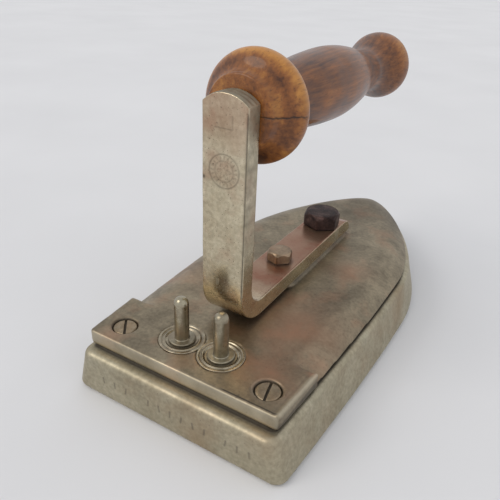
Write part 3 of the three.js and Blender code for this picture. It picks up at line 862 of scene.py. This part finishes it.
def makeInlet(size):
    for sideName, side in (("left", -1), ("right", 1)):
        x, at = side * fixings["pinX"], fixings["pinY"]
        shaft = roundedPath(size["profile"], [0, 0, 0, .1, .2, .2, .2, .3, .3, 1.2, 1, 1], 5)
        pin = turn("inletPin_" + sideName, shaft, x, at, 120, 40)
        points = readPoints(pin)
        angle = np.degrees(np.arctan2(points[:, 1] - at, points[:, 0] - x))
        # darker at the pin's foot, and a dark vertical streak painted down the side of the left pin,
        # faint on the right one
        foot = ease(30.2, 29.2, points[:, 2]) * 0.25
        streak = ridge(angle + 45, 8) * ease(30, 31, points[:, 2]) * ease(46, 44, points[:, 2])
        paint(pin, "grime", np.maximum(foot, streak * (1.0 if side < 0 else 0.2)))
        finish(pin, "terminal_pin_" + sideName, nickel["pin"])
        closed = list(size["washer"]) + [size["washer"][0]]
        washer = turn("dishedWasher_" + sideName, roundedPath(closed, [.1] * 12, 4), x, at,
                      144, 40)
        points = readPoints(washer)
        radius = np.hypot(points[:, 0] - x, points[:, 1] - at)
        points[:, 2] += ease(5.8, 8, radius) * 0.07 * waviness(points, 4, 31 + side)
        writePoints(washer, points)
        # the washer's grooves painted darker
        groove = np.maximum(ridge(radius - 8.18, 0.3), ease(6.4, 5.6, radius)) * (points[:, 2] > 27.8)
        paint(washer, "grime", groove * 0.4)
        finish(washer, "dished_washer_" + sideName, nickel["washer"])
        closed = list(size["bush"]) + [size["bush"][0]]
        bush = turn("insulatingBush_" + sideName, roundedPath(closed, [.15] * 5, 3), x, at, 96, 40)
        finish(bush, "insulating_bush_" + sideName, plain["steatite"])


makeInlet(inletPin)
print("inlet fitted")


# slotted cover screws

coverScrew = {
    "profile": ((0, 9), (2.5, 9), (2.5, 26.2), (5, 26.2), (5, 27.4), (4.6, 27.85), (0, 28.1)),
    "slotWidth": 1.1,
    "slotFloor": 26.9,
    "slotTurn": {"left": -52, "right": -77},
}


def makeScrews(size):
    for sideName, side in (("left", -1), ("right", 1)):
        x, at = side * fixings["screwX"], fixings["screwY"]
        shaft = roundedPath(size["profile"], [0, 0, .1, .2, .5, .5], 6)
        screw = turn("coverScrew_" + sideName, shaft, x, at, 120, 40)
        slot = boxOf("slot", (-6, -size["slotWidth"] / 2, size["slotFloor"]),
                     (6, size["slotWidth"] / 2, 30))
        spun = Matrix.Translation(toModel((x, at, 0))) \
            @ Matrix.Rotation(math.radians(size["slotTurn"][sideName]), 4, "Z") \
            @ Matrix.Translation(-toModel((0, 0, 0)))
        slot.data.transform(spun)
        combine(screw, [slot], "DIFFERENCE")
        softenEdges(screw, 0.1, 50)
        shade(screw, 40)
        points = readPoints(screw)
        # painted shade: darker inside the slot and down the sides of the head sunk in its recess, and a
        # little at the head's rim
        low = ease(27.5, 27.0, points[:, 2]) * (points[:, 2] > 26.3)
        rim = ease(4.6, 4.95, np.hypot(points[:, 0] - x, points[:, 1] - at))
        paint(screw, "grime", np.maximum(low, rim * 0.25))
        finish(screw, "cover_screw_" + sideName, nickel["screw"])


makeScrews(coverScrew)
print("screws in")


# handle bracket: forged and plated strap

handleStrap = {
    "width": 19.1,
    "rear": 34.2,
    "thickness": 8.0,
    "top": 126.3,
    "shoulder": 122.3,
    "footBottom": 30.5,
    "footEnd": 151.0,
    "bendRadius": 16.5,
    "skin": 0.36,
    "ripple": 0.06,
    "rosetteAt": 98.2,
    "rosetteRadius": 6.4,
    "rosetteTicks": 20,
}


def arcPoints(y, z, radius, first, last, steps):
    return [(y + radius * math.cos(math.radians(a)), z + radius * math.sin(math.radians(a)))
            for a in np.linspace(first, last, steps)]


def makeBracket(size):
    rear, front = size["rear"], size["rear"] + size["thickness"]
    footTop = size["footBottom"] + size["thickness"]
    bendY, bendZ = rear + size["bendRadius"], size["footBottom"] + size["bendRadius"]
    end, half = size["footEnd"], size["width"] / 2
    side = [(rear, size["top"] + 2)]
    side += arcPoints(bendY, bendZ, size["bendRadius"], 180, 270, 40)
    side += [(end, size["footBottom"]), (end, size["footBottom"] + 3.2), (end - 3.5, footTop - 1.2),
             (end - 8, footTop)]
    side += arcPoints(bendY, bendZ, size["bendRadius"] - size["thickness"], 270, 180, 30)
    side += [(front, size["top"] + 2)]
    bracket = slabOf("handleStrap", side, -half, half, "X")
    rise = size["top"] - size["shoulder"]
    archRadius = (half * half + rise * rise) / (2 * rise)
    spread = math.degrees(math.asin(half / archRadius))
    face = [(-half - 1, 0), (half + 1, 0), (half + 1, size["shoulder"] - 1)]
    face += arcPoints(0, size["top"] - archRadius, archRadius, 90 - spread, 90 + spread, 30)
    face += [(-half - 1, size["shoulder"] - 1)]
    combine(bracket, [slabOf("arch", face, 0, 200, "Y")], "INTERSECT")
    tang = boxOf("tangHole", (-4.4, rear + 1.2, 114), (4.4, front + 1, 119.6))
    combine(bracket, [tang] + boltBores(25, 45), "DIFFERENCE")
    resurface(bracket, size["skin"], 4)
    points, normals = readPoints(bracket), readNormals(bracket)
    x, y, z = points.T
    ripple = waviness(points, 11, 41) + 0.5 * waviness(points, 4, 42)
    points += normals * (ripple * size["ripple"])[:, None]
    # file strokes across the arched top
    topSide = ease(0.5, 0.9, normals[:, 2]) * ease(120, 122, z)
    points[:, 2] += topSide * 0.13 * np.sin(y * 2.3 + 0.8 * np.sin(x * 0.5))
    onRear = ease(-0.75, -0.95, normals[:, 1]) * ease(46, 50, z)
    v, radius = z - size["rosetteAt"], np.hypot(x, z - size["rosetteAt"])
    turnAngle = np.arctan2(v, x)
    ring = size["rosetteRadius"]
    tick = np.abs(np.sin(turnAngle * size["rosetteTicks"] / 2)) * radius * 2 / size["rosetteTicks"]
    petal = 2.1 + 0.9 * np.cos(6 * turnAngle)
    rosette = ridge(radius - ring, 0.3)
    rosette = np.maximum(rosette, 0.8 * ridge(radius - ring * 0.62, 0.28))
    rosette = np.maximum(rosette, 0.75 * ridge(tick, 0.3) * (radius > ring * 0.7) * (radius < ring * 0.9))
    rosette = np.maximum(rosette, 0.7 * ridge(radius - petal, 0.3) * (radius < ring * 0.55))
    rosette *= onRear
    # where the rod's flat tang was peened and filed flush
    nearTang = np.maximum(ridge(x - 3.2, 0.22) * (np.abs(z - 116.3) < 2.4),
                          ridge(z - 113.9, 0.22) * (np.abs(x + 0.6) < 3.8)) * onRear
    edgeLine = ridge(x - (half - 0.3), 0.42) * ease(-0.3, -0.6, normals[:, 1]) * ease(42, 52, z) \
        * ease(122, 119, z)
    points += normals * (-0.1 * rosette - 0.05 * nearTang - 0.08 * edgeLine)[:, None]
    writePoints(bracket, points)
    nicks = ease(0.62, 0.8, waviness(points, 1.7, 43)) * ease(0.0, 0.5, waviness(points, 14, 44))
    leftNicks = ridge(x + half - 0.8, 0.8) * ease(0.3, 0.6, waviness(points, 2.2, 45)) \
        * ease(86, 90, z) * ease(102, 96, z)
    # painted shade under the foot and round the clamp bolt's head where it sits on the foot; darker round
    # the small bolt
    underFoot = ease(31.4, 30.6, z) * 0.7 + ease(2.4, 0.4, z - footTop) * ease(
        10.5, 8.4, np.hypot(x, y - fixings["clampBoltY"])) * 0.6
    # painted shade: the strap's right-facing side is painted darker
    rightSideShade = ease(0.6, 0.95, normals[:, 0]) * ease(60, 75, z) * (0.3 + 0.25 * waviness(points, 3, 47))
    onFoot = ease(44, 40, z) * ease(0.2, 0.8, normals[:, 2])
    aroundSmall = ease(8.2, 6.2, np.hypot(x, y - fixings["smallBoltY"])) \
        * ease(60, 40, z) * 0.5
    # the arched top is painted darker as well
    grime = np.maximum.reduce([rosette * 0.62, nearTang * 0.5, edgeLine * 0.9, nicks * onRear * 0.5,
                               leftNicks, underFoot, aroundSmall, topSide * 0.7, rightSideShade,
                               onFoot * ease(50, 62, y) * 0.22])
    paint(bracket, "grime", grime)
    copper = onFoot * (0.25 + 0.55 * ease(50, 64, y)) + 0.35 * onRear * ease(96, 122, z)
    paint(bracket, "copper", copper + 0.15 * waviness(points, 7, 46) * (copper > 0.1))
    return finish(bracket, "handle_bracket", nickel["strap"])


makeBracket(handleStrap)
print("bracket forged")


# bolts

bolts = {
    "bracketBolt": {"node": "bracket_bolt_small", "slot": "small_bolt", "flats": 11.0, "head": 38.8,
                    "y": fixings["smallBoltY"], "height": 5.4, "shank": 3.0, "tip": 17.3,
                    "facing": -46, "crown": 0.15},
    "clampBolt": {"node": "clamp_bolt_large", "slot": "blackened_bolt", "flats": 17.5, "head": 38.8,
                  "y": fixings["clampBoltY"], "height": 8.0, "shank": 5.0, "tip": 6.0,
                  "facing": -51, "crown": 0.25},
}


def hexLimited(piece, flats, facing, x, y, softness):
    # pulls a turned piece in to a hexagon of that width across its flats
    points = readPoints(piece)
    u, v = points[:, 0] - x, points[:, 1] - y
    radius, angle = np.hypot(u, v), np.degrees(np.arctan2(v, u)) - facing
    wrapped = np.radians((angle + 30) % 60 - 30)
    limit = np.minimum(flats / 2 / np.cos(wrapped), flats / math.sqrt(3) - softness)
    share = np.where(radius > limit, limit / np.maximum(radius, 1e-6), 1)
    points[:, 0], points[:, 1] = x + u * share, y + v * share
    writePoints(piece, points)


def makeBolts():
    for name, size in bolts.items():
        head, top = size["head"], size["head"] + size["height"]
        corner, inner = size["flats"] / math.sqrt(3), size["flats"] / 2 - 0.4
        profile = [(0, size["tip"]), (size["shank"] - 0.6, size["tip"]),
                   (size["shank"], size["tip"] + 0.6), (size["shank"], head), (inner + 0.2, head)]
        profile += [(corner + 0.2, head + 0.35)]
        profile += [(corner + 0.2, z) for z in np.linspace(head + 0.9, head + size["height"] * 0.66, 8)]
        profile += [(corner + 0.2 + (inner - corner - 0.2) * t, head + size["height"] * (0.66 + 0.34 * t))
                    for t in np.linspace(0, 0.96, 14)[1:]]
        profile += [(inner * math.cos(t), top - size["crown"] + size["crown"] * math.sin(t))
                    for t in np.linspace(0.1, math.pi / 2, 9)[:-1]]
        profile += [(0, top)]
        # the steps start on a flat, so that the corners fall on points
        bolt = turn(name, profile, 0, 0, 192, 180)
        bolt.data.transform(Matrix.Translation(-toModel((0, 0, 0))))
        bolt.data.transform(Matrix.Rotation(math.radians(size["facing"]), 4, "Z"))
        bolt.data.transform(Matrix.Translation(toModel((0, size["y"], 0))))
        hexLimited(bolt, size["flats"], size["facing"], 0, size["y"], 0.25)
        points, normals = readPoints(bolt), readNormals(bolt)
        above = points[:, 2] > head + 0.5
        points += normals * (0.07 * waviness(points, 3, 51) * above)[:, None]
        writePoints(bolt, points)
        shade(bolt, 32)
        # darker at the lowest millimetre of the head and down the shank
        paint(bolt, "grime", ease(head + 1.1, head + 0.2, points[:, 2]) * 0.8)
        isLarge = name == "clampBolt"
        finish(bolt, size["node"], blackSteel if isLarge else nickel["bolt"])


makeBolts()
print("bolts in")


# handle: steel rod through a turned grip

handleGrip = {
    "axis": 117.5,             # height of the axis at the strap
    "from": 42.2,
    "droop": 0.93,             # degrees down towards the toe
    "bore": 5.4,
    "start": 42.6,
    "counterbore": 9.4,
    "counterboreAt": 182.4,
    "steps": 360,
    # [radius, distance from the heel]
    "silhouette": ((13.3, 42.6), (13.85, 43.0), (14.15, 44.0), (14.5, 45.4), (14.9, 46.5), (16.4, 47.9),
                   (19.2, 50), (20.9, 52.4), (21.4, 55.1), (20.7, 57.8), (18.4, 60.2), (15.4, 62.3),
                   (13.2, 64.4), (12.3, 67.5), (12.9, 75), (14.2, 85), (15.4, 97), (16.1, 109),
                   (16.2, 119), (15.4, 130), (13.6, 142), (11.7, 152), (10.5, 160), (10.3, 166),
                   (11.6, 172), (14.1, 178), (16.3, 183), (17.3, 187.5), (16.9, 191), (15, 194),
                   (12, 196), (9.4, 196.4)),
    "crackTo": 56.5,
}
handleFrame = (Matrix.Translation((0, handleGrip["from"], handleGrip["axis"]))
               @ Matrix.Rotation(math.radians(-handleGrip["droop"]), 4, "X")
               @ Matrix.Rotation(math.radians(-90), 4, "X")
               @ Matrix.Translation((0, 0, -handleGrip["from"])))


def alongHandle(piece):
    # distance along the axis, radius and angle (0 to the right, 90 up) of every point
    points = readPoints(piece)
    back = handleFrame.inverted()
    local = points @ np.array(back.to_3x3()).T + np.array(back.translation)
    return points, local[:, 2], np.hypot(local[:, 0], local[:, 1]), \
        np.degrees(np.arctan2(-local[:, 1], local[:, 0]))


def makeGrip(size):
    profile = throughPoints(size["silhouette"], 0.7)
    profile += [(size["counterbore"] - 0.3, 196.3), (size["counterbore"] - 0.3, size["counterboreAt"]),
                (size["bore"], size["counterboreAt"]), (size["bore"], size["start"]), profile[0]]
    grip = turn("turnedGrip", profile, steps=size["steps"], sharpAngle=50, frameOf=handleFrame)
    points, y, radius, angle = alongHandle(grip)
    outside = ease(5.6, 9, radius) * (y < 196.35)
    normals = readNormals(grip)
    ripple = 0.1 * waviness(points, 15, 61) + 0.04 * waviness(points, 5, 62)
    points += normals * (ripple * outside)[:, None]
    crackAngle = 0.6 + 0.7 * np.sin(y * 0.9) + 0.5 * np.sin(y * 2.7)
    crack = ridge(np.radians(angle - crackAngle) * radius, 0.26) * ease(size["crackTo"],
                                                                       size["crackTo"] - 3, y) * outside
    points -= normals * (crack * 0.45)[:, None]
    writePoints(grip, points)
    paint(grip, "crack", crack)
    bulge = np.maximum.reduce([ridge(y - 54, 5) * ease(17, 21, radius), 0.6 * ease(49, 46, y),
                               ridge(y - 112, 26) * 0.15, ridge(y - 188, 7) * 0.5])
    # painted light and shade: the upper side is painted lighter and the underside darker, on top of the
    # hand wear on the swellings
    top = (1 + np.sin(np.radians(angle))) / 2
    worn = (0.12 + 0.16 * top + bulge * (0.35 + 0.65 * top)) * (0.8 + 0.4 * waviness(points, 12, 63))
    paint(grip, "worn", worn)
    return finish(grip, "handle_grip", beech)


makeGrip(handleGrip)

handleRod = {
    "endRadius": 3.9,
    "threadFrom": 184.6,
    "threadPitch": 0.8,
    "tang": ((-4.1, 35.6, 114.3), (4.1, 43.5, 119.3)),
}


def makeRod(size):
    profile = [(0, 42.5), (4.6, 42.5), (5.0, 42.8), (5.0, 181.6), (4.4, 181.9),
               (size["endRadius"], 182.3)]
    y = size["threadFrom"]
    while y < 193:
        profile += [(size["endRadius"], y), (size["endRadius"] - 0.45, y + size["threadPitch"] / 2)]
        y += size["threadPitch"]
    profile += [(size["endRadius"] - 0.1, 193.3), (3.2, 194), (0, 194)]
    rod = turn("steelRod", profile, steps=96, sharpAngle=40, frameOf=handleFrame)
    combine(rod, [boxOf("tang", *size["tang"])], "UNION")
    softenEdges(rod, 0.2, 70)
    shade(rod, 40)
    finish(rod, "handle_rod", plain["steel"])
    washerPath = roundedPath([(4.4, 182.7), (8.6, 182.7), (8.6, 184.3), (4.4, 184.3), (4.4, 182.7)],
                             [.35, .35, .2], 4)
    washer = turn("rodWasher", washerPath, steps=96, sharpAngle=40, frameOf=handleFrame)
    finish(washer, "rod_end_washer", plain["steel"])
    flats, corner = 12.0, 12.0 / math.sqrt(3)
    flat = flats / 2 - 0.3
    nutPath = [(4.2, 185.7), (4.6, 185.3), (flat, 185.3)]
    nutPath += [(corner * t + flat * (1 - t), 185.3 + 0.9 * t) for t in np.linspace(0.1, 1, 8)]
    nutPath += [(corner * (1 - t) + flat * t, 190.4 + 0.9 * t) for t in np.linspace(0, 1, 9)]
    nutPath += [(4.6, 191.3), (4.2, 190.9), (4.2, 185.7)]
    upright = turn("rodNut", nutPath, 0, 0, 192, 180)
    hexLimited(upright, flats, 0, 0, 0, 0.1)
    points = readPoints(upright)
    writePoints(upright, np.array([handleFrame @ Vector(p) for p in points]))
    shade(upright, 32)
    finish(upright, "rod_end_nut", plain["steel"])


makeRod(handleRod)
print("handle turned")


# pieces kept from the frame

keptPieces = {
    "lower_mica_sheet": "mica", "heater_core": "mica", "upper_mica_sheet": "mica",
    "lower_washer_left": "mica", "lower_washer_right": "mica", "insulating_board": "board",
    "pressure_plate": "iron", "resistance_ribbon": "ribbon", "connecting_strip_left": "brass",
    "connecting_strip_right": "brass", "terminal_nut_left": "brass", "terminal_nut_right": "brass",
}
for node, stuff in keptPieces.items():
    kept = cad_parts[node]
    kept.data.materials.clear()
    kept.data.materials.append(plain[stuff])
    shade(kept, 30)
print("inner pieces dressed")


# floor and light

studio = {
    "floorColour": "e3e3e5",
    "sky": "e9ebee",
    "skyStrength": 0.88,
    # each light: the direction it comes from, how wide it looks in degrees, strength, colour
    "lights": {
        "keyLight": ((-0.40, -0.58, 0.71), 36, 0.85, "fff8ee"),
        "sideLight": ((0.85, -0.20, 0.48), 60, 0.1, "f8f9ff"),
    },
}


def makeStudio(look):
    # a very large sheet of floor, gently uneven far away so that it is not one bare face
    count, reach = 60, 40.0
    steps = np.linspace(-1, 1, count)
    across = np.sign(steps) * np.abs(steps) ** 3 * reach
    x, y = np.meshgrid(across, across)
    points = np.stack([x.ravel(), y.ravel(), np.zeros(count * count)], 1)
    faces = [[r * count + c, r * count + c + 1, (r + 1) * count + c + 1, (r + 1) * count + c]
             for r in range(count - 1) for c in range(count - 1)]
    mesh = bpy.data.meshes.new("floor")
    mesh.from_pydata([tuple(p) for p in points], [], faces)
    floor = bpy.data.objects.new("floor", mesh)
    bpy.context.scene.collection.objects.link(floor)
    material, tree, shader, place = startMaterial("paleCloth")
    # the cloth's folds painted as faint shade
    foldShade = put(tree, "TexNoise", {"Vector": place, "Scale": perMm(160), "Detail": 3.0})
    shades = put(tree, "ValToRGB", {0: foldShade}, stops=[(0.3, "dedee0"), (0.7, look["floorColour"])])
    connect(tree, shader, {"Base Color": shades})
    shader.inputs["Roughness"].default_value = 0.85
    floor.data.materials.append(material)
    world = bpy.data.worlds.new("studio")
    bpy.context.scene.world = world
    world.use_nodes = True
    sky = world.node_tree.nodes["Background"]
    sky.inputs[0].default_value = linear(look["sky"])
    sky.inputs[1].default_value = look["skyStrength"]
    for name, (direction, width, strength, colour) in look["lights"].items():
        lamp = bpy.data.lights.new(name, "SUN")
        lamp.angle = math.radians(width)
        lamp.energy = strength
        lamp.color = linear(colour)[:3]
        holder = bpy.data.objects.new(name, lamp)
        holder.rotation_euler = Vector(direction).to_track_quat("Z", "Y").to_euler()
        bpy.context.scene.collection.objects.link(holder)
    bpy.context.scene.view_settings.view_transform = "Standard"
    bpy.context.scene.view_settings.look = "None"


makeStudio(studio)
print("floor and light set")
